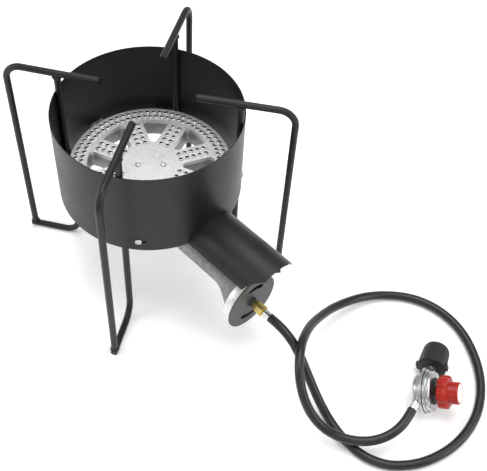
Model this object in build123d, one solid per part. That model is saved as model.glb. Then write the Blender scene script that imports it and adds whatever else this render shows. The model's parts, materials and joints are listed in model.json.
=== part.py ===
from build123d import *

import math
import os

# Propane burner stand, millimetres.  The origin is on the windscreen's axis at floor level, +Z is up,
# the right leg lies near +X, the back leg near +Y.  Radial pieces are drawn along +X and then turned.

# Stand frame, bent from round bar
rod_radius = 5.5
leg_azimuths = {"right": 2.5, "back": 88.5, "left": 180.0, "front": -90.5}
arm_centre_z = 380.6
arm_inner_end_radius = 75.3
outer_upright_radius = 226.4
inner_upright_radius = 142.8
leg_bend_radius = 27.0
foot_overhang = 6.0

# Windscreen
windscreen_radius = 150.0
sheet_thickness = 1.5
windscreen_bottom_z = 184.0
windscreen_top_z = 343.6
screw_offset_azimuth = 9.4
screw_z = 205.0
screw_shank_radius = 2.5
slot_span = (-1.3, 4.6)
tab_thickness = 2.5
tab_gap = 0.1

# Mixing tube, hose guard and burner share one azimuth
burner_azimuth = -33.6
guard_outer_radius = 47.3
guard_centre_z = 171.0
guard_end_outline = [
    (120, -60), (258, -60), (260, -46), (289, -24), (290, -4), (294.5, 2),
    (289.5, 7), (289, 25), (280, 46), (278, 60), (120, 60),
]

# Burner casting
burner_radius = 133.0
burner_top_z = 220.5
cap_thickness = 7.0
base_bottom_z = 188.0
casting_wall = 4.2
window_count = 8
spoke_half_width = 16.2
window_outer_radius = 104.0
window_corner_radius = 6.0
port_radius = 1.5
ring_port_rows = [(112.5, 0.0), (123.5, 0.5)]
ring_ports_per_row = 72
spoke_port_radii = [50.0, 61.0, 72.0, 83.0, 94.0]
spoke_port_offset = 6.0
ear_half_width = 11.5
ear_tip_radius = 144.0
ear_thickness = 7.0

# Mixing tube and its bell mouth
mixer_z = 91.5
mixer_outer_radius = 14.5
mixer_bore_radius = 11.0
mixer_elbow_radius = 45.0
bell_start = 170.0
bell_mouth = 244.0
bell_radius = 50.0
spider_thickness = 4.0
slot_centre_angles = (75.0, -105.0)

# Air shutter and gas fitting, stations along the mixing tube's axis
shutter_face = 244.3
shutter_thickness = 2.0
shutter_radius = 51.0
stem_radius = 4.95
hose_start_station = 288.2

# Hose
hose_radius = 7.4
hose_route = [
    (240.0, -159.5, 91.5), (257.5, -171.1, 91.5), (273.6, -183.0, 88.2), (288.0, -195.4, 80.8),
    (301.2, -208.6, 69.0), (316.2, -224.4, 51.6), (332.4, -241.4, 33.4), (350.2, -259.9, 18.2),
    (371.5, -281.0, 9.8), (394.0, -300.0, 7.7), (425.0, -318.0, 7.6), (466.0, -323.0, 7.6),
    (519.0, -303.0, 7.6), (568.0, -257.0, 7.6), (597.0, -192.0, 7.6), (594.0, -115.0, 7.6),
    (555.0, -37.0, 7.6), (485.0, 1.0, 7.6), (403.0, -11.0, 9.0), (340.0, -67.0, 30.0),
    (307.0, -135.0, 67.0), (298.5, -178.0, 90.5), (296.5, -207.0, 100.5), (298.5, -235.0, 99.5),
    (305.0, -258.5, 87.5), (316.5, -276.5, 69.0), (332.0, -289.0, 50.0), (352.0, -298.0, 35.5),
    (376.0, -303.0, 27.5), (401.0, -303.7, 25.5), (426.2, -299.7, 27.0), (449.0, -289.1, 31.0),
    (466.7, -273.0, 35.5), (477.7, -254.0, 38.0), (483.5, -238.0, 38.0),
]

# Regulator: x along the knob's axis, y along the inlet's axis, rolled until its nut meets the floor
regulator_centre = (511.0, -196.5, 37.4)
knob_azimuth = -8.0
knob_elevation = 25.0
regulator_roll = 7.4
outlet_end = (483.5, -238.0, 38.0)
outlet_azimuth = -110.0
inlet_offset = -11.0
diaphragm_x = -6.0
button_start = 1.2
screw_tip = 3.4
screw_radius = 4.0
inlet_thread_radius = 4.5
outlet_thread_radius = 4.8
nut_mouth_radius = 16.8


def turned(shape, azimuth):
    return Rot(0, 0, azimuth) * shape


def ring(outer, inner, bottom, top):
    """Upright ring between two heights."""
    wall = Circle(outer) - Circle(inner) if inner else Circle(outer)
    return extrude(Pos(0, 0, bottom) * wall, top - bottom)


def bar(radius, start, end, azimuth=0.0):
    """Round bar between two points."""
    start, end = Vector(*start), Vector(*end)
    axis = Plane(origin=start, z_dir=end - start)
    return turned(extrude(axis * Circle(radius), (end - start).length), azimuth)


def along_x(sketch, start, end):
    """Sketch in the YZ plane pushed from one station to another along +X."""
    return extrude(Plane(origin=(start, 0, 0), x_dir=(0, 1, 0), z_dir=(1, 0, 0)) * sketch, end - start)


def along_y(sketch, start, end, x=0.0):
    """Sketch in the ZX plane pushed from one station to another along +Y."""
    return extrude(Plane(origin=(x, start, 0), x_dir=(0, 0, 1), z_dir=(0, 1, 0)) * sketch, end - start)


def bent_rod(points):
    path = FilletPolyline(*points, radius=leg_bend_radius)
    return sweep(Plane(origin=path @ 0, z_dir=path % 0) * Circle(rod_radius), path=path)


# ---- Stand frame ----

def arm_rod(azimuth):
    """Top arm that carries the kettle, turning down into the outer upright."""
    return turned(bent_rod([
        (arm_inner_end_radius, 0, arm_centre_z),
        (outer_upright_radius, 0, arm_centre_z),
        (outer_upright_radius, 0, 2 * rod_radius),
    ]), azimuth)


def foot_rod(azimuth):
    """Floor bar, turning up into the inner upright that meets the arm's underside."""
    return turned(bent_rod([
        (outer_upright_radius + foot_overhang, 0, rod_radius),
        (inner_upright_radius, 0, rod_radius),
        (inner_upright_radius, 0, arm_centre_z - rod_radius),
    ]), azimuth)


def weld_bead(radius, z, height, arm, foot):
    """Lens of weld metal around a joint, with both rods taken out of it."""
    puddle = Pos(radius, 0, z) * scale(Sphere(1.0), by=(rod_radius + 2.3, rod_radius + 2.0, height))
    return puddle - arm - foot


def outer_weld(azimuth):
    bead = weld_bead(outer_upright_radius, 2 * rod_radius - 0.5, 3.6, arm_rod(0), foot_rod(0))
    return turned(max(bead.solids(), key=lambda s: s.volume), azimuth)


def inner_weld(azimuth):
    bead = weld_bead(inner_upright_radius, arm_centre_z - rod_radius - 1.0, 3.6, arm_rod(0), foot_rod(0))
    return turned(max(bead.solids(), key=lambda s: s.volume), azimuth)


# ---- Windscreen and hose guard ----

def guard_channel(radius, start, end):
    """Round-topped channel, solid, lying along +X."""
    arch = Pos(0, guard_centre_z) * Circle(radius)
    arch -= Pos(0, windscreen_bottom_z - 100) * Rectangle(400, 200)
    return along_x(arch, start, end)


def windscreen():
    wall = ring(windscreen_radius, windscreen_radius - sheet_thickness, windscreen_bottom_z, windscreen_top_z)
    wall -= turned(guard_channel(guard_outer_radius, 120, 170), burner_azimuth)
    for azimuth in leg_azimuths.values():
        cut = []
        for span in slot_span:
            hole = bar(screw_shank_radius + 0.7, (140, 0, screw_z), (160, 0, screw_z))
            cut.append(turned(hole, azimuth + screw_offset_azimuth + span * 0.75))
        middle = azimuth + screw_offset_azimuth + sum(slot_span) * 0.375
        width = windscreen_radius * math.radians(slot_span[1] - slot_span[0]) * 0.75
        web = Pos(150, 0, screw_z) * Box(20, width, 2 * screw_shank_radius + 1.4)
        wall -= cut[0] + cut[1] + turned(web, middle)
    return wall


def hose_guard():
    sheet = guard_channel(guard_outer_radius, 120, 300) - guard_channel(guard_outer_radius - sheet_thickness, 119, 301)
    outline = extrude(Pos(0, 0, 150) * make_face(Polyline(*guard_end_outline, close=True)), 100)
    sheet = sheet & outline
    sheet -= ring(windscreen_radius - sheet_thickness, 0, 150, 260)
    return turned(sheet, burner_azimuth)


def sector(outer, inner, bottom, top, start, end):
    """Slice of an upright ring between two azimuths."""
    reach = outer * 2
    wedge = make_face(Polyline(
        (0, 0),
        (reach * math.cos(math.radians(start)), reach * math.sin(math.radians(start))),
        (reach * math.cos(math.radians(end)), reach * math.sin(math.radians(end))),
        close=True,
    ))
    return ring(outer, inner, bottom, top) & extrude(Pos(0, 0, bottom - 1) * wedge, top - bottom + 2)


def tab_outer_radius():
    return windscreen_radius - sheet_thickness - tab_gap


def windscreen_tabs():
    tabs = []
    for azimuth in leg_azimuths.values():
        tab = sector(tab_outer_radius(), tab_outer_radius() - tab_thickness, screw_z - 10, screw_z + 10, 0.0, 14.5)
        tab -= foot_rod(0)
        tab -= bar(screw_shank_radius + 0.1, (130, 0, screw_z), (160, 0, screw_z), screw_offset_azimuth)
        tabs.append(turned(max(tab.solids(), key=lambda s: s.volume), azimuth))
    return Compound(children=tabs)


def windscreen_screws():
    head_start = windscreen_radius + 0.05
    head = along_x(Circle(5.2), head_start, head_start + 3.0)
    head = fillet(head.edges().sort_by(Axis.X)[-1], 1.8)
    head -= Pos(head_start + 2.6, 0, 0) * (Box(1.6, 6.0, 1.1) + Box(1.6, 1.1, 6.0))
    screw = head + along_x(Circle(screw_shank_radius), windscreen_radius - 14.0, head_start)
    return Compound(children=[
        turned(Pos(0, 0, screw_z) * screw, azimuth + screw_offset_azimuth) for azimuth in leg_azimuths.values()
    ])


def windscreen_nuts():
    nut_end = tab_outer_radius() - tab_thickness - 0.35
    hexagon = RegularPolygon(4.6, 6, major_radius=False) - Circle(screw_shank_radius + 0.03)
    nut = along_x(hexagon, nut_end - 4.0, nut_end)
    return Compound(children=[
        turned(Pos(0, 0, screw_z) * nut, azimuth + screw_offset_azimuth) for azimuth in leg_azimuths.values()
    ])


def seam_rivets():
    """Two small domed rivets through the windscreen's seam beside the back leg."""
    rivets = []
    for z in (332.5, 319.0):
        inner = windscreen_radius - sheet_thickness
        dome = Pos(inner, 0, z) * scale(Sphere(1.0), by=(1.2, 2.4, 2.4))
        rivet = dome - ring(windscreen_radius + 5, inner, z - 5, z + 5)
        rivets.append(turned(rivet.solids()[0], 84.6))
    return Compound(children=rivets)


# ---- Burner ----

def wedge_window(band, outer):
    """Rounded triangular window between two spokes, its point towards the hub."""
    half_pitch = math.radians(180 / window_count)
    apex = band / math.sin(half_pitch)
    limit = half_pitch - math.asin(band / outer)
    corner = (outer * math.cos(limit), outer * math.sin(limit))
    face = make_face([
        Line((apex, 0), corner),
        RadiusArc(corner, (corner[0], -corner[1]), outer, short_sagitta=True),
        Line((corner[0], -corner[1]), (apex, 0)),
    ])
    return fillet(face.vertices(), window_corner_radius)


def windows(band, outer, bottom, top):
    sketch = wedge_window(band, outer)
    prism = extrude(Pos(0, 0, bottom) * sketch, top - bottom)
    if prism.bounding_box().max.Z < top - 0.01:
        prism = extrude(Pos(0, 0, top) * sketch, top - bottom)
    return [turned(prism, 360 / window_count * k) for k in range(window_count)]


def port_centres():
    pitch = 360 / ring_ports_per_row
    for radius, shift in ring_port_rows:
        for k in range(ring_ports_per_row):
            yield Vector(radius, 0, 0).rotate(Axis.Z, pitch * (k + shift))
    for k in range(window_count):
        for radius in spoke_port_radii:
            for side in (-spoke_port_offset, spoke_port_offset):
                yield Vector(radius, side, 0).rotate(Axis.Z, 360 / window_count * (k + 0.5))


def burner_cap():
    bottom = burner_top_z - cap_thickness
    plate = Circle(burner_radius) - [
        turned(wedge_window(spoke_half_width, window_outer_radius), 360 / window_count * k) for k in range(window_count)
    ]
    plate -= [Pos(c.X, c.Y) * Circle(port_radius) for c in port_centres()]
    plate -= [Pos(*cap_screw_place(side)) * Circle(2.6) for side in (0, 1)]
    cap = extrude(Pos(0, 0, bottom) * plate, cap_thickness)
    return turned(cap, burner_azimuth)


def cap_screw_place(side):
    angle = math.radians((9.0, -159.0)[side] - burner_azimuth)
    return (20.6 * math.cos(angle), 20.6 * math.sin(angle))


def burner_cap_screws():
    screws = []
    for side in (0, 1):
        x, y = cap_screw_place(side)
        head = Pos(x, y, burner_top_z + 0.05) * extrude(Circle(4.4), 2.4)
        head = fillet(head.edges().sort_by(Axis.Z)[-1], 1.4)
        shank = Pos(x, y, burner_top_z - 16) * extrude(Circle(2.5), 16.05)
        screws.append(turned(head + shank, burner_azimuth))
    return Compound(children=screws)


def bell_profile(radius, inset):
    """Half section of the mixing tube's bell, from the tube out to the mouth."""
    return [
        Line((bell_start - 2, 0), (bell_start - 2, radius)),
        Line((bell_start - 2, radius), (bell_start, radius)),
        Spline([(bell_start, radius), (203, radius + 11.0), (bell_mouth - 15, bell_radius - inset)],
               tangents=[(1, 0), (0.35, 1)]),
        Line((bell_mouth - 15, bell_radius - inset), (bell_mouth - spider_thickness, bell_radius - inset)),
        Line((bell_mouth - spider_thickness, bell_radius - inset), (bell_mouth - spider_thickness, 0)),
        Line((bell_mouth - spider_thickness, 0), (bell_start - 2, 0)),
    ]


def kidney(radius, width, span, centre):
    """Curved slot around the origin, in the XY plane."""
    wedge = make_face(Polyline(
        (0, 0), (80, 80 * math.tan(math.radians(span / 2))), (80, -80 * math.tan(math.radians(span / 2))), close=True,
    ))
    slot = (Circle(radius + width / 2) - Circle(radius - width / 2)) & wedge
    for side in (-1, 1):
        end = math.radians(side * span / 2)
        slot += Pos(radius * math.cos(end), radius * math.sin(end)) * Circle(width / 2)
    return Rot(0, 0, centre) * slot


def burner_base():
    """Gallery bowl, riser elbow, mixing tube, bell and spider as one casting."""
    outline = Circle(burner_radius) - [
        turned(wedge_window(spoke_half_width, window_outer_radius), 360 / window_count * k) for k in range(window_count)
    ]
    bowl = extrude(Pos(0, 0, base_bottom_z) * outline, burner_top_z - cap_thickness - base_bottom_z)
    for side in (1, -1):
        ear = Pos(side * (ear_tip_radius + 120) / 2, 0, burner_top_z - cap_thickness - ear_thickness / 2) * Box(
            ear_tip_radius - 120, 2 * ear_half_width, ear_thickness)
        ear -= bar(2.6, (side * 138.5, 0, 190), (side * 138.5, 0, 230))
        bowl += ear
    hollow = Circle(burner_radius - casting_wall) - [
        turned(wedge_window(spoke_half_width - casting_wall, window_outer_radius + casting_wall),
               360 / window_count * k) for k in range(window_count)
    ]
    cavity = extrude(Pos(0, 0, base_bottom_z + casting_wall) * hollow, 40)
    for side in (0, 1):
        x, y = cap_screw_place(side)
        post = Pos(x, y, base_bottom_z) * (extrude(Circle(6.0), 40))
        cavity -= post
    bowl -= cavity
    for side in (0, 1):
        x, y = cap_screw_place(side)
        bowl -= Pos(x, y, burner_top_z - 16.5) * extrude(Circle(2.52), 20)

    def tube(radius, start_z, end_x):
        path = FilletPolyline((0, 0, start_z), (0, 0, mixer_z), (end_x, 0, mixer_z), radius=mixer_elbow_radius)
        return sweep(Plane(origin=path @ 0, z_dir=path % 0) * Circle(radius), path=path)

    skirt = Pos(0, 0, 174) * Cone(mixer_outer_radius + 0.5, 34, 30)
    outer_bell = revolve(Plane.XZ * make_face(bell_profile(mixer_outer_radius, 0.0)), Axis.X)
    inner_bell = revolve(Plane.XZ * make_face(bell_profile(mixer_bore_radius, casting_wall)), Axis.X)
    mouth = along_x(Circle(bell_radius), bell_mouth - spider_thickness - 0.01, bell_mouth)
    mouth -= [along_x(kidney(31.0, 20.0, 62.0, centre), bell_mouth - 10, bell_mouth + 5) for centre in slot_centre_angles]
    mouth += along_x(Circle(9.0), bell_mouth - 12, bell_mouth - 1)
    casting = bowl + skirt + tube(mixer_outer_radius, base_bottom_z + 2, bell_start)
    casting += Pos(0, 0, mixer_z) * outer_bell
    casting -= tube(mixer_bore_radius, base_bottom_z + 30, bell_start)
    casting -= Pos(0, 0, mixer_z) * inner_bell
    casting += Pos(0, 0, mixer_z) * mouth
    casting -= Pos(0, 0, mixer_z) * along_x(Circle(stem_radius + 0.03), bell_mouth - 14, bell_mouth + 2)
    return turned(casting, burner_azimuth)


def burner_brackets():
    """Two angle brackets under the burner's ears, one hanging below and one standing above."""
    wall = windscreen_radius - sheet_thickness
    ear_bottom = burner_top_z - cap_thickness - ear_thickness - 0.05
    brackets = []
    for azimuth, low, high in ((180.0, ear_bottom - 22, ear_bottom), (0.0, ear_bottom - 2.5, 246.0)):
        upright = sector(wall - 0.02, wall - 2.5, low, high, -4.2, 4.2)
        shelf = Pos((133.6 + wall) / 2, 0, ear_bottom - 1.25) * Box(wall - 133.6, 20, 2.5)
        bracket = upright + (shelf & ring(wall - 0.02, 0, ear_bottom - 5, ear_bottom + 5))
        bracket -= bar(2.6, (138.5, 0, ear_bottom - 10), (138.5, 0, ear_bottom + 10))
        brackets.append(turned(bracket, burner_azimuth + azimuth))
    return Compound(children=brackets)


def bracket_bolts():
    top = burner_top_z - cap_thickness + 0.05
    bolt = Pos(138.5, 0, top) * extrude(Circle(4.4), 2.4)
    bolt = fillet(bolt.edges().sort_by(Axis.Z)[-1], 1.2)
    bolt += Pos(138.5, 0, top - 16) * extrude(Circle(2.5), 16)
    return Compound(children=[turned(bolt, burner_azimuth + a) for a in (0.0, 180.0)])


def bracket_nuts():
    bottom = burner_top_z - cap_thickness - ear_thickness - 2.5 - 4.2
    nut = Pos(138.5, 0, bottom) * extrude(RegularPolygon(4.2, 6, major_radius=False) - Circle(2.53), 4.0)
    return Compound(children=[turned(nut, burner_azimuth + a) for a in (0.0, 180.0)])


# ---- Air shutter and gas fitting ----

def mixer_axis(shape):
    """From stations along +X to the mixing tube's own axis."""
    return turned(Pos(0, 0, mixer_z) * shape, burner_azimuth)


def air_shutter():
    disc = Circle(shutter_radius) - Circle(stem_radius + 0.06)
    disc -= [kidney(31.5, 9.0, 46.0, centre) for centre in slot_centre_angles]
    plate = along_x(disc, shutter_face, shutter_face + shutter_thickness)
    return mixer_axis(plate)


def shutter_nut():
    start = shutter_face + shutter_thickness + 0.2
    nut = along_x(RegularPolygon(8.2, 6, major_radius=False) - Circle(stem_radius + 0.02), start, start + 5.2)
    return mixer_axis(nut)


def orifice_fitting():
    """Brass spud: jet nose inside the bell, threaded stem through the spider, flared end outside."""
    spud = along_x(Circle(3.2), 218, 230) + along_x(Circle(stem_radius), 230, 253)
    spud += along_x(Circle(7.6), 253, 257.4)
    spud += along_x(Circle(5.6), 257.4, 262)
    spud -= along_x(Circle(2.0), 222, 263) + along_x(Circle(0.7), 217, 223)
    return mixer_axis(spud)


def swivel_nut():
    nut = along_x(RegularPolygon(9.2, 6, major_radius=False), 257.6, 274.0)
    nut &= along_x(Circle(10.4), 257.6, 274.0)
    nut -= along_x(Circle(5.65), 257, 264.4) + along_x(Circle(4.3), 264, 275)
    return mixer_axis(nut)


def hose_tail(start, end, collar):
    """Flared hose tail: seat, stem and collar, in stations along +X."""
    tail = along_x(Circle(5.5), start, start + 1.5) + along_x(Circle(4.2), start + 1.5, collar)
    tail += along_x(Circle(6.6), collar, collar + 1.8) + along_x(Circle(3.6), collar + 1.8, end)
    return tail - along_x(Circle(2.0), start - 1, end + 1)


def crimp_ferrule(start, end):
    """Pressed sleeve with two crimp waists, closed over the hose tail's end."""
    sleeve = along_x(Circle(7.9), start, end)
    length = end - start
    for share in (0.36, 0.68):
        waist = along_x(Circle(9) - Circle(7.4), start + length * share - 1.0, start + length * share + 1.0)
        sleeve -= waist
    return sleeve - along_x(Circle(3.62), start - 1, end - 0.5)


def hose_tail_burner():
    return mixer_axis(hose_tail(262.7, hose_start_station - 0.6, 274.2))


def ferrule_burner():
    return mixer_axis(crimp_ferrule(276.1, hose_start_station - 0.1))


# ---- Hose ----

def hose_radii():
    """Each corner's arc: as large as its two runs allow."""
    points = [Vector(*p) for p in hose_route]
    radii = []
    for before, here, after in zip(points, points[1:], points[2:]):
        shorter = min((here - before).length, (after - here).length)
        turn = (here - before).get_angle(after - here)
        radii.append(0.45 * shorter / math.tan(math.radians(turn / 2)))
    return radii


def hose():
    radii = hose_radii()
    path = FilletPolyline(*hose_route, radius=radii)
    tube = sweep(Plane(origin=path @ 0, z_dir=path % 0) * Circle(hose_radius), path=path)
    print("hose length", round(path.length), "smallest radius", round(min(radii)), "volume ratio",
          round(tube.volume / (math.pi * hose_radius ** 2 * path.length), 4))
    return tube


# ---- Regulator ----

def in_regulator(shape):
    """From the regulator's own axes to its place on the floor."""
    turn = Rot(0, 0, knob_azimuth) * Rot(0, -knob_elevation, 0) * Rot(-regulator_roll, 0, 0)
    return Pos(*regulator_centre) * turn * shape


def outlet_plane():
    """X points out of the regulator along the hose, the origin at the hose's end face."""
    azimuth = math.radians(outlet_azimuth)
    return Plane(origin=outlet_end, x_dir=(math.cos(azimuth), math.sin(azimuth), 0), z_dir=(0, 0, 1))


def in_outlet(shape):
    return outlet_plane().location * shape


def regulator_body():
    """Die-cast lower half: diaphragm dish, hub, inlet boss and outlet boss."""
    hub = along_x(Circle(27.0), -26.0, -10.5)
    shell = along_x(Circle(36.0), -10.5, diaphragm_x) + fillet(hub.edges().sort_by(Axis.X)[0], 8.0)
    boss = along_y(Circle(8.2), 18.0, 41.0, inlet_offset)
    boss -= along_x(Circle(60.0), diaphragm_x, diaphragm_x + 20)
    shell = in_regulator(shell + boss)
    shell += in_outlet(along_x(Circle(7.6), -40.0, -14.5))
    cavity = along_x(Circle(21.0), -22.0, -8.0) + along_x(Circle(30.5), -8.5, diaphragm_x + 2)
    shell -= in_regulator(cavity)
    shell -= in_regulator(along_y(Circle(inlet_thread_radius + 0.02), 12.0, 42.0, inlet_offset))
    shell -= in_outlet(along_x(Circle(outlet_thread_radius + 0.02), -42.0, -14.0))
    shell -= in_outlet(along_x(Circle(8.1), -14.45, 2.0))
    return shell


def diaphragm():
    return in_regulator(along_x(Circle(33.0), diaphragm_x + 0.05, diaphragm_x + 0.95))


def diaphragm_plate():
    seat = diaphragm_x + 1.0
    return in_regulator(along_x(Circle(17.0), seat, seat + 1.2) + along_x(Circle(4.0), seat + 1.2, seat + 2.4))


def regulator_bonnet():
    """Upper half: crimped rim and a low dome, open in the middle for the spring cap."""
    base = diaphragm_x + 1.0
    dome = along_x(Circle(34.6), base, base + 3.4) + along_x(Circle(32.0), base + 3.4, 6.0)
    dome = fillet(dome.edges().filter_by(GeomType.CIRCLE).sort_by(Axis.X)[-1], 3.0)
    dome -= along_x(Circle(25.0), base - 1, 2.6) + along_x(Circle(21.55), 2.0, 7.0)
    return in_regulator(dome)


def bonnet_cap():
    """Dark threaded plug that closes the bonnet and carries the adjusting screw."""
    cap = along_x(Circle(21.5), 3.9, 7.2)
    cap = chamfer(cap.edges().sort_by(Axis.X)[-1], 0.8)
    cap += along_x(Circle(7.0), 7.2, 8.2)
    cap -= along_x(Circle(screw_radius + 0.05), 3, 9)
    return in_regulator(cap)


def range_spring():
    """Coil between the diaphragm's plate and the button."""
    turns, wire, radius = 2.4, 1.1, 9.0
    start, end = diaphragm_x + 2.25 + wire / 2, button_start - 0.05 - wire / 2
    coil = Helix(pitch=(end - start) / turns, height=end - start, radius=radius)
    wire_body = sweep(Plane(origin=coil @ 0, z_dir=coil % 0) * Circle(wire / 2), path=coil, is_frenet=True)
    return in_regulator(Pos(start, 0, 0) * Rot(0, 90, 0) * wire_body)


def spring_button():
    """Cup that the adjusting screw pushes down on the spring."""
    button = along_x(Circle(12.5), button_start, button_start + 1.1)
    return in_regulator(button + along_x(Circle(4.5), button_start + 1.1, screw_tip - 0.05))


def adjusting_screw():
    return in_regulator(along_x(Circle(screw_radius), screw_tip, 29.0))


def adjusting_knob():
    """Stepped knob: hexagonal grip, then a smaller round end with a shallow recess for its disc."""
    grip = along_x(fillet(RegularPolygon(26.0, 6, rotation=30).vertices(), 4.0), 13.6, 29.0)
    grip = fillet(grip.faces().sort_by(Axis.X)[-1].edges(), 1.5)
    end = along_x(Circle(17.4), 28.9, 46.0)
    end = fillet(end.edges().sort_by(Axis.X)[-1], 1.2)
    knob = grip + end
    knob -= along_x(Circle(14.6), 45.2, 47.0) + along_x(Circle(screw_radius), 10.0, 29.0)
    return in_regulator(knob)


def knob_disc():
    return in_regulator(along_x(Circle(14.5), 45.22, 45.8))


def inlet_nipple():
    """Brass inlet: threaded root in the body, waist, shoulder and the bullet nose that enters the valve."""
    x = inlet_offset
    nipple = along_y(Circle(inlet_thread_radius), 30.0, 41.1, x) + along_y(Circle(8.2), 41.1, 46.5, x)
    nipple += along_y(Circle(5.9), 46.5, 84.0, x) + along_y(Circle(7.0), 57.0, 60.0, x)
    nose = along_y(Circle(5.9), 84.0, 90.0, x)
    nipple += fillet(nose.edges().sort_by(Axis.Y)[-1], 2.6)
    return in_regulator(nipple - along_y(Circle(2.2), 29.0, 91.0, x))


def nose_seal():
    return in_regulator(along_y(Circle(7.4) - Circle(5.92), 74.0, 81.0, inlet_offset))


def thermal_bushing():
    """Heat-soft sleeve that holds the nut on the nipple."""
    sleeve = along_y(Circle(11.4), 47.2, 52.0, inlet_offset) + along_y(Circle(15.2), 52.0, 56.4, inlet_offset)
    return in_regulator(sleeve - along_y(Circle(5.95), 46.0, 58.0, inlet_offset))


def coupling_nut():
    """Hand nut: round barrel, a flange at its root and a wide mouth for the valve's thread."""
    x = inlet_offset
    barrel = along_y(Circle(22.4), 46.8, 90.0, x)
    barrel = fillet(barrel.edges().sort_by(Axis.Y)[-1], 2.5)
    barrel += along_y(Circle(23.4), 46.8, 50.5, x)
    barrel -= along_y(Circle(11.45), 46.0, 60.0, x) + along_y(Circle(15.3), 51.95, 60.0, x)
    barrel -= along_y(Circle(nut_mouth_radius), 59.0, 91.0, x)
    return in_regulator(barrel)


def valve_seat():
    """Rubber disc that closes the inlet orifice."""
    return in_regulator(along_y(Circle(3.2), 21.3, 24.0, inlet_offset))


def valve_lever():
    """Bell crank between the diaphragm and the valve seat."""
    beam = Pos(inlet_offset, 10.5, 0) * Box(4.0, 21.0, 5.0)
    foot_end = diaphragm_x - 0.3
    foot = Pos((inlet_offset + foot_end) / 2, 1.0, 0) * Box(foot_end - inlet_offset, 2.0, 5.0)
    lever = beam + foot
    lever -= Pos(inlet_offset, 15, 0) * extrude(Circle(1.03), 20, both=True)
    return in_regulator(lever)


def lever_pin():
    return in_regulator(Pos(inlet_offset, 15, 0) * extrude(Circle(1.0), 6.0, both=True))


def outlet_tail():
    tail = along_x(Circle(outlet_thread_radius), -33.0, -14.4) + along_x(Circle(6.8), -14.4, -12.9)
    tail += along_x(Circle(3.6), -12.9, -0.6)
    return in_outlet(tail - along_x(Circle(2.0), -39, 0))


def ferrule_regulator():
    return in_outlet(crimp_ferrule(-12.8, -0.1))


pieces = {
    "windscreen": windscreen,
    "hose_guard": hose_guard,
    "windscreen_tabs": windscreen_tabs,
    "windscreen_screws": windscreen_screws,
    "windscreen_nuts": windscreen_nuts,
    "seam_rivets": seam_rivets,
    "burner_base": burner_base,
    "burner_cap": burner_cap,
    "burner_cap_screws": burner_cap_screws,
    "burner_brackets": burner_brackets,
    "bracket_bolts": bracket_bolts,
    "bracket_nuts": bracket_nuts,
    "air_shutter": air_shutter,
    "shutter_nut": shutter_nut,
    "orifice_fitting": orifice_fitting,
    "swivel_nut": swivel_nut,
    "hose_tail_burner": hose_tail_burner,
    "ferrule_burner": ferrule_burner,
    "hose": hose,
    "ferrule_regulator": ferrule_regulator,
    "outlet_tail": outlet_tail,
    "regulator_body": regulator_body,
    "valve_seat": valve_seat,
    "valve_lever": valve_lever,
    "lever_pin": lever_pin,
    "diaphragm": diaphragm,
    "diaphragm_plate": diaphragm_plate,
    "regulator_bonnet": regulator_bonnet,
    "bonnet_cap": bonnet_cap,
    "range_spring": range_spring,
    "spring_button": spring_button,
    "adjusting_screw": adjusting_screw,
    "adjusting_knob": adjusting_knob,
    "knob_disc": knob_disc,
    "inlet_nipple": inlet_nipple,
    "nose_seal": nose_seal,
    "thermal_bushing": thermal_bushing,
    "coupling_nut": coupling_nut,
}

os.makedirs("parts", exist_ok=True)
for side, azimuth in leg_azimuths.items():
    export_step(arm_rod(azimuth), f"parts/arm_rod_{side}.step")
    export_step(foot_rod(azimuth), f"parts/foot_rod_{side}.step")
    export_step(outer_weld(azimuth), f"parts/outer_weld_{side}.step")
    export_step(inner_weld(azimuth), f"parts/inner_weld_{side}.step")
for name, make in pieces.items():
    export_step(make(), f"parts/{name}.step")
    print(name)
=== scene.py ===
import bmesh
import bpy
import json
import math
from mathutils import Matrix, Vector


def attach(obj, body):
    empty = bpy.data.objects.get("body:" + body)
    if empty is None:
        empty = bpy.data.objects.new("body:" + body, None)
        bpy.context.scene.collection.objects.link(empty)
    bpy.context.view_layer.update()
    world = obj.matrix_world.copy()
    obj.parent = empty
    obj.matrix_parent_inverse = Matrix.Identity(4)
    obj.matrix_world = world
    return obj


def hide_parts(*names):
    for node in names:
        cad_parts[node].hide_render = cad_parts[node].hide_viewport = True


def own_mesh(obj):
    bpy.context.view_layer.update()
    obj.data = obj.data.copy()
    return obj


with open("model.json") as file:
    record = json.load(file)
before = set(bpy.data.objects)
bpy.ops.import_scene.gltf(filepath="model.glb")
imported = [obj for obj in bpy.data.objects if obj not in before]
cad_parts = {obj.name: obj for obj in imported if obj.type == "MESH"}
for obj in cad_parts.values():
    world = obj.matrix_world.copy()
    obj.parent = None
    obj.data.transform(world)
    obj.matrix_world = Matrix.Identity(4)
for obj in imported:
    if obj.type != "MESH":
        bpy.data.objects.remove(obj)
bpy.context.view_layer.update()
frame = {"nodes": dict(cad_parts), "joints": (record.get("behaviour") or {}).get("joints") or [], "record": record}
print("stand loaded")


# finishes

def newFinish(name, colour, metallic, roughness, specular=0.5):
    finish = bpy.data.materials.new(name)
    finish.use_nodes = True
    shader = finish.node_tree.nodes["Principled BSDF"]
    shader.inputs["Base Color"].default_value = (*colour, 1)
    shader.inputs["Metallic"].default_value = metallic
    shader.inputs["Roughness"].default_value = roughness
    shader.inputs["Specular IOR Level"].default_value = specular
    return finish, finish.node_tree.nodes, finish.node_tree.links, shader


def objectNoise(nodes, links, scale, detail):
    place = nodes.new("ShaderNodeTexCoord")
    noise = nodes.new("ShaderNodeTexNoise")
    noise.inputs["Scale"].default_value = scale
    noise.inputs["Detail"].default_value = detail
    links.new(place.outputs["Object"], noise.inputs["Vector"])
    return noise.outputs["Fac"]


noiseSpan = {"colour": (0.35, 0.65), "roughness": (0.3, 0.7)}


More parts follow.
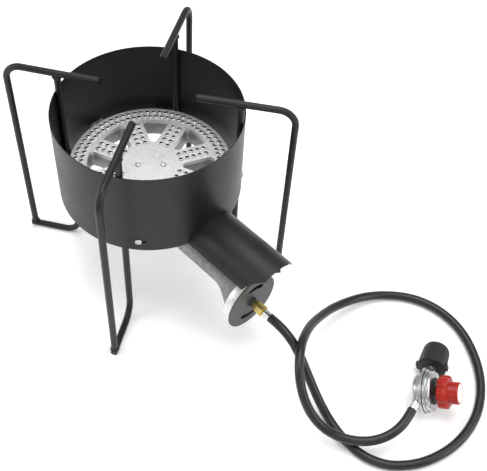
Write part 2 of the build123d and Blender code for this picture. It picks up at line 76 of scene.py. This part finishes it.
def varyColour(nodes, links, shader, factor, dark, light):
    ramp = nodes.new("ShaderNodeValToRGB")
    low, high = ramp.color_ramp.elements
    low.position, high.position = noiseSpan["colour"]
    low.color = (*dark, 1)
    high.color = (*light, 1)
    links.new(factor, ramp.inputs["Fac"])
    links.new(ramp.outputs["Color"], shader.inputs["Base Color"])


def varyRoughness(nodes, links, shader, factor, low, high):
    spread = nodes.new("ShaderNodeMapRange")
    spread.inputs["From Min"].default_value = noiseSpan["roughness"][0]
    spread.inputs["From Max"].default_value = noiseSpan["roughness"][1]
    spread.inputs["To Min"].default_value = low
    spread.inputs["To Max"].default_value = high
    links.new(factor, spread.inputs["Value"])
    links.new(spread.outputs["Result"], shader.inputs["Roughness"])


def addBump(nodes, links, shader, factor, strength, distance):
    bump = nodes.new("ShaderNodeBump")
    bump.inputs["Strength"].default_value = strength
    bump.inputs["Distance"].default_value = distance
    links.new(factor, bump.inputs["Height"])
    links.new(bump.outputs["Normal"], shader.inputs["Normal"])


powderCoatLook = {
    "dark": (0.006, 0.006, 0.0062), "light": (0.010, 0.010, 0.0104), "roughness": (0.36, 0.46),
    "specular": 0.3, "patchScale": 14, "patchDetail": 4, "peelScale": 900, "peelDetail": 2,
    "peelStrength": 0.16, "peelDepth": 0.0002,
}


def makePowderCoat():
    look = powderCoatLook
    finish, nodes, links, shader = newFinish("satinPowderCoat", look["light"], 0.0, 0.4, look["specular"])
    patches = objectNoise(nodes, links, look["patchScale"], look["patchDetail"])
    varyColour(nodes, links, shader, patches, look["dark"], look["light"])
    varyRoughness(nodes, links, shader, patches, *look["roughness"])
    peel = objectNoise(nodes, links, look["peelScale"], look["peelDetail"])
    addBump(nodes, links, shader, peel, look["peelStrength"], look["peelDepth"])
    return finish


castDetail = {"clouds": 6, "grain": 5}
castLook = {
    "castAluminium": {
        "dark": (0.58, 0.58, 0.585), "light": (0.70, 0.70, 0.705), "roughness": (0.36, 0.5), "metallic": 0.75,
        "grainScale": 420, "cloudScale": 260, "grainStrength": 0.6, "grainDepth": 0.0008,
    },
    "mixerCast": {
        "dark": (0.24, 0.24, 0.245), "light": (0.36, 0.36, 0.365), "roughness": (0.45, 0.62), "metallic": 0.7,
        "grainScale": 420, "cloudScale": 160, "grainStrength": 0.7, "grainDepth": 0.0008,
    },
    "polishedCast": {
        "dark": (0.76, 0.76, 0.76), "light": (0.88, 0.88, 0.88), "roughness": (0.22, 0.34), "metallic": 0.85,
        "grainScale": 900, "cloudScale": 300, "grainStrength": 0.2, "grainDepth": 0.0002,
    },
    "machinedRim": {
        "dark": (0.68, 0.68, 0.68), "light": (0.84, 0.84, 0.84), "roughness": (0.3, 0.42), "metallic": 0.5,
        "grainScale": 700, "cloudScale": 160, "grainStrength": 0.3, "grainDepth": 0.0003,
    },
    "dieCastZinc": {
        "dark": (0.40, 0.40, 0.41), "light": (0.60, 0.60, 0.61), "roughness": (0.2, 0.34), "metallic": 1.0,
        "grainScale": 700, "cloudScale": 60, "grainStrength": 0.2, "grainDepth": 0.0003,
    },
}


def makeCast(name):
    look = castLook[name]
    finish, nodes, links, shader = newFinish(name, look["light"], look["metallic"], 0.5)
    clouds = objectNoise(nodes, links, look["cloudScale"], castDetail["clouds"])
    varyColour(nodes, links, shader, clouds, look["dark"], look["light"])
    varyRoughness(nodes, links, shader, clouds, *look["roughness"])
    grain = objectNoise(nodes, links, look["grainScale"], castDetail["grain"])
    addBump(nodes, links, shader, grain, look["grainStrength"], look["grainDepth"])
    return finish


turnedLook = {
    "brass": {"dark": (0.58, 0.44, 0.12), "light": (0.80, 0.66, 0.26), "roughness": (0.18, 0.3)},
    "zincPlate": {"dark": (0.50, 0.50, 0.49), "light": (0.68, 0.68, 0.67), "roughness": (0.26, 0.4)},
    "brightSleeve": {"dark": (0.68, 0.68, 0.68), "light": (0.86, 0.86, 0.86), "roughness": (0.18, 0.3)},
}
turnedGrain = {"stainScale": 160, "stainDetail": 5, "markScale": 1500, "markDetail": 2, "markStrength": 0.12,
               "markDepth": 0.0001}


def makeTurnedMetal(name):
    look = turnedLook[name]
    finish, nodes, links, shader = newFinish(name, look["light"], 1.0, 0.3)
    stain = objectNoise(nodes, links, turnedGrain["stainScale"], turnedGrain["stainDetail"])
    varyColour(nodes, links, shader, stain, look["dark"], look["light"])
    varyRoughness(nodes, links, shader, stain, *look["roughness"])
    marks = objectNoise(nodes, links, turnedGrain["markScale"], turnedGrain["markDetail"])
    addBump(nodes, links, shader, marks, turnedGrain["markStrength"], turnedGrain["markDepth"])
    return finish


plainLook = {
    "shutterPaint": {"dark": (0.045, 0.045, 0.046), "light": (0.065, 0.065, 0.066), "roughness": (0.4, 0.52),
                     "grain": 800, "strength": 0.15, "depth": 0.0002, "specular": 0.4},
    "hoseRubber": {"dark": (0.005, 0.005, 0.005), "light": (0.010, 0.010, 0.010), "roughness": (0.3, 0.42),
                   "grain": 520, "strength": 0.2, "depth": 0.0003, "specular": 0.4},
    "sealRubber": {"dark": (0.01, 0.01, 0.01), "light": (0.018, 0.018, 0.018), "roughness": (0.55, 0.7),
                   "grain": 600, "strength": 0.2, "depth": 0.0002, "specular": 0.4},
    "nutPlastic": {"dark": (0.006, 0.006, 0.006), "light": (0.011, 0.011, 0.011), "roughness": (0.42, 0.54),
                   "grain": 1300, "strength": 0.35, "depth": 0.0003, "specular": 0.4},
    "redPlastic": {"dark": (0.24, 0.007, 0.002), "light": (0.34, 0.012, 0.003), "roughness": (0.28, 0.38),
                   "grain": 900, "strength": 0.08, "depth": 0.0002, "specular": 0.3},
    "palePlastic": {"dark": (0.66, 0.65, 0.62), "light": (0.76, 0.75, 0.72), "roughness": (0.35, 0.48),
                    "grain": 900, "strength": 0.08, "depth": 0.0002, "specular": 0.5},
}
plainDetail = {"cloudScale": 70, "clouds": 4, "grain": 2}


def makePlain(name):
    look = plainLook[name]
    finish, nodes, links, shader = newFinish(name, look["light"], 0.0, 0.45, look["specular"])
    clouds = objectNoise(nodes, links, plainDetail["cloudScale"], plainDetail["clouds"])
    varyColour(nodes, links, shader, clouds, look["dark"], look["light"])
    varyRoughness(nodes, links, shader, clouds, *look["roughness"])
    grain = objectNoise(nodes, links, look["grain"], plainDetail["grain"])
    addBump(nodes, links, shader, grain, look["strength"], look["depth"])
    return finish


powderCoat = makePowderCoat()
castAluminium = makeCast("castAluminium")
mixerCast = makeCast("mixerCast")
polishedCast = makeCast("polishedCast")
# painted shade: a dark finish laid on the port throats in place of the shade inside each hole
paintedPortShade = makePlain("sealRubber")
paintedPortShade.name = "paintedPortShade"
machinedRim = makeCast("machinedRim")
dieCast = makeCast("dieCastZinc")
brass = makeTurnedMetal("brass")
zincPlate = makeTurnedMetal("zincPlate")
brightSleeve = makeTurnedMetal("brightSleeve")
shutterPaint = makePlain("shutterPaint")
hoseRubber = makePlain("hoseRubber")
sealRubber = makePlain("sealRubber")
nutPlastic = makePlain("nutPlastic")
redPlastic = makePlain("redPlastic")
palePlastic = makePlain("palePlastic")

finishOfSlot = {
    "black_powder_coat": powderCoat, "cast_aluminium": castAluminium, "dark_sheet": shutterPaint,
    "plated_screws": zincPlate, "brass": brass, "bright_sleeve": brightSleeve, "black_rubber": hoseRubber,
    "die_cast": dieCast, "dark_plastic": nutPlastic, "red_plastic": redPlastic, "pale_plastic": palePlastic,
    "seal_rubber": sealRubber,
}

for part in frame["record"]["subparts"]:
    node = frame["nodes"][part["node"]]
    node.data.materials.clear()
    node.data.materials.append(finishOfSlot[part["material_slot"]])
frame["nodes"]["burner_base"].data.materials[0] = mixerCast
frame["nodes"]["inlet_nipple"].data.materials[0] = zincPlate


# small helpers for new pieces

def newPiece(name, shape, finish, body):
    mesh = bpy.data.meshes.new(name)
    shape.to_mesh(mesh)
    shape.free()
    piece = bpy.data.objects.new(name, mesh)
    bpy.context.scene.collection.objects.link(piece)
    mesh.materials.append(finish)
    for face in mesh.polygons:
        face.use_smooth = True
    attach(piece, body)
    return piece


def spunRing(profile, steps):
    shape = bmesh.new()
    rim = [shape.verts.new((radius, 0, height)) for radius, height in profile]
    edges = [shape.edges.new((rim[k], rim[(k + 1) % len(rim)])) for k in range(len(rim))]
    bmesh.ops.spin(shape, geom=rim + edges, cent=(0, 0, 0), axis=(0, 0, 1), angle=2 * math.pi,
                   steps=steps, use_merge=True)
    bmesh.ops.remove_doubles(shape, verts=shape.verts, dist=1e-7)
    bmesh.ops.recalc_face_normals(shape, faces=shape.faces)
    return shape


# raised collars around the burner's ports

portCollars = {"azimuth": -33.6, "capTop": 0.2205, "rings": ((0.1125, 0.0), (0.1235, 0.5)), "perRing": 72,
               "spokes": 8, "spokeRadii": (0.050, 0.061, 0.072, 0.083, 0.094), "spokeSide": 0.006,
               "outer": 0.0046, "inner": 0.00152, "height": 0.0026, "sunk": 0.0002, "throatTop": 0.0001,
               "crown": ((0.9, 0.7), (0.76, 1), (0.6, 0.9)), "throatShare": 0.56, "steps": 12}


def portPlaces(look):
    pitch = 360 / look["perRing"]
    for radius, shift in look["rings"]:
        for k in range(look["perRing"]):
            yield Matrix.Rotation(math.radians(pitch * (k + shift)), 3, "Z") @ Vector((radius, 0, 0))
    for k in range(look["spokes"]):
        turn = Matrix.Rotation(math.radians(360 / look["spokes"] * (k + 0.5)), 3, "Z")
        for radius in look["spokeRadii"]:
            for side in (-1, 1):
                yield turn @ Vector((radius, side * look["spokeSide"], 0))


def makePortCollars():
    look = portCollars
    inner, outer, height = look["inner"], look["outer"], look["height"]
    crown = [(outer * across, height * up) for across, up in look["crown"]]
    profile = [(outer, -look["sunk"]), *crown, (inner, look["throatTop"]), (inner, -look["sunk"])]
    shape = spunRing(profile, look["steps"])
    for face in shape.faces:
        if face.calc_center_median().xy.length < outer * look["throatShare"]:
            face.material_index = 1  # painted shade: the throat of each port gets a dark finish
    first = list(shape.verts) + list(shape.edges) + list(shape.faces)
    for place in portPlaces(look):
        copy = bmesh.ops.duplicate(shape, geom=first)
        corners = [item for item in copy["geom"] if isinstance(item, bmesh.types.BMVert)]
        bmesh.ops.translate(shape, verts=corners, vec=place)
    pattern = [item for item in first if isinstance(item, bmesh.types.BMVert)]
    bmesh.ops.delete(shape, geom=pattern, context="VERTS")
    bmesh.ops.translate(shape, verts=shape.verts, vec=(0, 0, look["capTop"]))
    bmesh.ops.rotate(shape, verts=shape.verts, cent=(0, 0, 0),
                     matrix=Matrix.Rotation(math.radians(look["azimuth"]), 3, "Z"))
    collars = newPiece("port_collars", shape, polishedCast, "stand")
    # the second slot carries the painted shade of the port throats
    collars.data.materials.append(paintedPortShade)


makePortCollars()
print("port collars made")


# turned and lobed pieces, drawn along their own axis in millimetres

def lobedShell(profile, lobes, sharpness, segments):
    shape = bmesh.new()
    first = bmesh.ops.create_circle(shape, segments=segments, radius=1)["verts"]
    for corner in first:
        corner.co *= profile[0][1]
        corner.co.z = profile[0][0]
    ring = list(shape.edges)
    firstRing = list(ring)
    for along, radius, depth in profile[1:]:
        grown = bmesh.ops.extrude_edge_only(shape, edges=ring)["geom"]
        ring = [item for item in grown if isinstance(item, bmesh.types.BMEdge)]
        for corner in (item for item in grown if isinstance(item, bmesh.types.BMVert)):
            angle = math.atan2(corner.co.y, corner.co.x)
            reach = radius - depth * max(0, math.cos(lobes * angle)) ** sharpness
            corner.co = (reach * math.cos(angle), reach * math.sin(angle), along)
    ring = [edge for edge in ring if edge.is_boundary]
    firstRing = [edge for edge in firstRing if edge.is_boundary]
    bmesh.ops.bridge_loops(shape, edges=ring + firstRing)
    bmesh.ops.recalc_face_normals(shape, faces=shape.faces)
    return shape


millimetre = 0.001


def placeAlong(shape, origin, axis, side):
    ahead = Vector(axis).normalized()
    across = (Vector(side) - Vector(side).dot(ahead) * ahead).normalized()
    turn = Matrix((across, ahead.cross(across), ahead)).transposed().to_4x4()
    place = Matrix.Translation(origin) @ turn @ Matrix.Scale(millimetre, 4)
    bmesh.ops.transform(shape, verts=shape.verts, matrix=place)


def jointOf(name):
    return next(joint for joint in frame["joints"] if joint["name"] == name)


def shadeByAngle(piece, angle):
    shape = bmesh.new()
    shape.from_mesh(piece.data)
    for edge in shape.edges:
        edge.smooth = edge.calc_face_angle(0) < math.radians(angle)
    shape.to_mesh(piece.data)
    shape.free()


knobAxis = -Vector(jointOf("knob_turn")["axis"])
nutAxis = Vector(jointOf("coupling_nut_turn")["axis"])
regulatorMiddle = Vector(jointOf("knob_turn")["pos_m"])

handNut = {
    "fromJoint": 0.060, "lobes": 8, "sharpness": 8, "segments": 128, "shade": 40,
    "profile": [(46.8, 11.45, 0), (46.8, 21.6, 0), (47.8, 22.9, 0), (50.2, 23.2, 0), (51.6, 22.9, 0.1),
                (54.0, 22.7, 0.8), (70.0, 22.3, 0.9), (83.0, 21.6, 0.8), (86.5, 21.0, 0.2), (88.8, 19.9, 0),
                (90.0, 18.2, 0), (90.0, 17.2, 0), (89.4, 16.8, 0), (60.0, 16.8, 0), (60.0, 15.3, 0),
                (51.98, 15.3, 0), (51.98, 11.45, 0)],
    "ear": {"size": (6.5, 12.0, 9.0), "reach": 22.6, "along": 52.2, "bevel": 1.2},
}


def makeHandNut():
    look = handNut
    shape = lobedShell(look["profile"], look["lobes"], look["sharpness"], look["segments"])
    ear = look["ear"]
    for side in (-1, 1):
        block = bmesh.ops.create_cube(shape, size=1)["verts"]
        bmesh.ops.scale(shape, verts=block, vec=ear["size"])
        edges = list({edge for corner in block for edge in corner.link_edges})
        rounded = bmesh.ops.bevel(shape, geom=edges, offset=ear["bevel"], offset_type="OFFSET", segments=3,
                                  profile=0.5, affect="EDGES", material=-1)["verts"]
        bmesh.ops.translate(shape, verts=rounded, vec=(side * ear["reach"], 0, ear["along"]))
    origin = Vector(jointOf("coupling_nut_turn")["pos_m"]) - look["fromJoint"] * nutAxis
    placeAlong(shape, origin, nutAxis, knobAxis)
    nut = newPiece("hand_nut", shape, nutPlastic, "coupling_nut")
    shadeByAngle(nut, look["shade"])
    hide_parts("coupling_nut")
    return nut


redKnob = {
    "lobes": 6, "sharpness": 1.6, "segments": 144, "shade": 40,
    "profile": [(13.6, 4.05, 0), (13.6, 19.5, 0), (14.0, 23.5, 1.8), (15.0, 25.4, 2.6), (16.2, 26.0, 2.8),
                (27.6, 26.0, 2.8), (28.8, 25.4, 2.6), (29.6, 23.8, 1.6), (29.9, 19.0, 0), (30.4, 17.9, 0),
                (31.6, 17.4, 0), (43.6, 17.4, 0), (45.2, 16.9, 0), (46.0, 15.8, 0), (46.0, 14.9, 0),
                (45.8, 14.6, 0), (45.2, 14.6, 0), (45.2, 4.05, 0)],
}


def makeRedKnob():
    look = redKnob
    shape = lobedShell(look["profile"], look["lobes"], look["sharpness"], look["segments"])
    placeAlong(shape, regulatorMiddle, knobAxis, nutAxis)
    knob = newPiece("red_knob", shape, redPlastic, "knob")
    shadeByAngle(knob, look["shade"])
    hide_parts("adjusting_knob")
    return knob


stemThread = {"from": 10.8, "to": 13.4, "crest": 4.35, "root": 3.9, "core": 3.2, "pitch": 1.25,
              "crestFrom": 0.35, "crestTo": 0.6, "segments": 48, "shade": 30}


def makeStemThread():
    look = stemThread
    profile = [(look["from"], look["root"], 0)]
    along = look["from"]
    while along + look["pitch"] <= look["to"]:
        profile += [(along + look["pitch"] * look["crestFrom"], look["crest"], 0),
                    (along + look["pitch"] * look["crestTo"], look["crest"], 0),
                    (along + look["pitch"], look["root"], 0)]
        along += look["pitch"]
    profile += [(along, look["core"], 0), (look["from"], look["core"], 0)]
    shape = lobedShell(profile, 1, 1, look["segments"])
    placeAlong(shape, regulatorMiddle, knobAxis, nutAxis)
    thread = newPiece("stem_thread", shape, brightSleeve, "knob")
    shadeByAngle(thread, look["shade"])
    return thread


mixerAxis = Vector(jointOf("air_shutter_turn")["axis"])
mixerMiddle = Vector(jointOf("air_shutter_turn")["pos_m"])
mixerStart = Vector((0, 0, mixerMiddle.z))

bellBand = {
    "profile": [(229.4, 49.9, 0), (229.5, 50.25, 0), (230.2, 50.4, 0), (242.6, 50.4, 0), (243.3, 50.2, 0),
                (243.4, 49.9, 0)],
    "segments": 128, "shade": 40,
}


def makeBellBand():
    shape = lobedShell(bellBand["profile"], 1, 1, bellBand["segments"])
    placeAlong(shape, mixerStart, mixerAxis, (0, 0, 1))
    band = newPiece("bell_band", shape, machinedRim, "stand")
    shadeByAngle(band, bellBand["shade"])


def pressRangeSpring():
    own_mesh(frame["nodes"]["range_spring"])


regulatorPieces = [makeHandNut(), makeRedKnob(), makeStemThread()]
makeBellBand()
pressRangeSpring()
print("knob, hand nut and bell band made")


# gas hose

gasHose = {"diameter": 0.0148, "length": 1.368, "roundSteps": 6, "runSteps": 10}
hoseLine = [
    (0.2400, -0.1595, 0.0915), (0.2575, -0.1711, 0.0915), (0.2736, -0.1830, 0.0882),
    (0.2880, -0.1954, 0.0808), (0.3012, -0.2086, 0.0690), (0.3162, -0.2244, 0.0516),
    (0.3324, -0.2414, 0.0334), (0.3502, -0.2599, 0.0182), (0.3715, -0.2810, 0.0098),
    (0.3940, -0.3000, 0.0077), (0.4250, -0.3180, 0.0076), (0.4660, -0.3230, 0.0076),
    (0.5190, -0.3030, 0.0076), (0.5680, -0.2570, 0.0076), (0.5970, -0.1920, 0.0076),
    (0.5940, -0.1150, 0.0076), (0.5550, -0.0370, 0.0076), (0.4850, 0.0010, 0.0076),
    (0.4030, -0.0110, 0.0090), (0.3400, -0.0670, 0.0300), (0.3070, -0.1350, 0.0670),
    (0.2985, -0.1780, 0.0905), (0.2965, -0.2070, 0.1005), (0.2985, -0.2350, 0.0995),
    (0.3050, -0.2585, 0.0875), (0.3165, -0.2765, 0.0690), (0.3320, -0.2890, 0.0500),
    (0.3520, -0.2980, 0.0355), (0.3760, -0.3030, 0.0275), (0.4010, -0.3037, 0.0255),
    (0.4262, -0.2997, 0.0270), (0.4490, -0.2891, 0.0310), (0.4667, -0.2730, 0.0355),
    (0.4777, -0.2540, 0.0380), (0.4835, -0.2380, 0.0380),
]


def makeHose():
    curve = bpy.data.curves.new("gas_hose", "CURVE")
    curve.dimensions = "3D"
    curve.bevel_depth = gasHose["diameter"] / 2
    curve.bevel_resolution = gasHose["roundSteps"]
    curve.resolution_u = gasHose["runSteps"]
    curve.use_fill_caps = True
    spline = curve.splines.new("NURBS")
    spline.points.add(len(hoseLine) - 1)
    for point, place in zip(spline.points, hoseLine):
        point.co = (*place, 1)
    spline.order_u = 3
    spline.use_endpoint_u = True
    hose = bpy.data.objects.new("gas_hose", curve)
    bpy.context.scene.collection.objects.link(hose)
    curve.materials.append(hoseRubber)
    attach(hose, "stand")
    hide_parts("hose")
    return hose


makeHose()
print("hose laid")


# floor, lights and camera

studio = {"floorSize": 8.0, "floorColour": (0.97, 0.97, 0.97), "floorRoughness": 0.9, "floorSpecular": 0.1,
          "sky": 0.55}


def makeFloor():
    shape = bmesh.new()
    bmesh.ops.create_grid(shape, x_segments=2, y_segments=2, size=studio["floorSize"] / 2)
    mesh = bpy.data.meshes.new("studio_floor")
    shape.to_mesh(mesh)
    shape.free()
    floor = bpy.data.objects.new("studio_floor", mesh)
    bpy.context.scene.collection.objects.link(floor)
    roughness, specular = studio["floorRoughness"], studio["floorSpecular"]
    finish = newFinish("paleFloor", studio["floorColour"], 0.0, roughness, specular)[0]
    mesh.materials.append(finish)


softLights = {
    "overhead": {"place": (0.2, 0.3, 2.6), "aim": (0.2, -0.1, 0.1), "size": 2.2, "power": 60},
    "left": {"place": (-2.2, -0.6, 1.3), "aim": (0.0, 0.0, 0.2), "size": 1.5, "power": 26},
    "right": {"place": (2.4, -0.4, 1.2), "aim": (0.1, -0.1, 0.2), "size": 1.5, "power": 26},
    "front": {"place": (0.3, -2.6, 1.8), "aim": (0.2, -0.1, 0.1), "size": 1.8, "power": 14},
}


def makeLights():
    for name, look in softLights.items():
        light = bpy.data.lights.new(name, "AREA")
        light.energy = look["power"]
        light.size = look["size"]
        lamp = bpy.data.objects.new(name, light)
        bpy.context.scene.collection.objects.link(lamp)
        lamp.location = look["place"]
        ray = Vector(look["aim"]) - Vector(look["place"])
        lamp.rotation_euler = ray.to_track_quat("-Z", "Y").to_euler()
    world = bpy.data.worlds.new("paleStudio")
    bpy.context.scene.world = world
    world.use_nodes = True
    sky = world.node_tree.nodes["Background"]
    sky.inputs["Color"].default_value = (1, 1, 1, 1)
    sky.inputs["Strength"].default_value = studio["sky"]


cameraLook = {"place": (0.301, -0.9224, 1.2376), "yaw": -8.91, "down": 48.26, "roll": -4.29,
              "lens": 63.14, "sensor": 36, "shift": (0.0005, -0.0852)}


def makeCamera():
    look = cameraLook
    yaw, down, roll = (math.radians(look[key]) for key in ("yaw", "down", "roll"))
    ahead = Vector((math.sin(yaw) * math.cos(down), math.cos(yaw) * math.cos(down), -math.sin(down)))
    side = Vector((math.cos(yaw), -math.sin(yaw), 0))
    under = ahead.cross(side)
    across = math.cos(roll) * side + math.sin(roll) * under
    below = -math.sin(roll) * side + math.cos(roll) * under
    lens = bpy.data.cameras.new("camera")
    lens.lens = look["lens"]
    lens.sensor_width = look["sensor"]
    lens.shift_x, lens.shift_y = look["shift"]
    camera = bpy.data.objects.new("camera", lens)
    bpy.context.scene.collection.objects.link(camera)
    turn = Matrix((across, -below, -ahead)).transposed().to_4x4()
    camera.matrix_world = Matrix.Translation(look["place"]) @ turn
    bpy.context.scene.camera = camera


makeFloor()
makeLights()
makeCamera()
bpy.context.scene.view_settings.view_transform = "Standard"
print("studio ready")
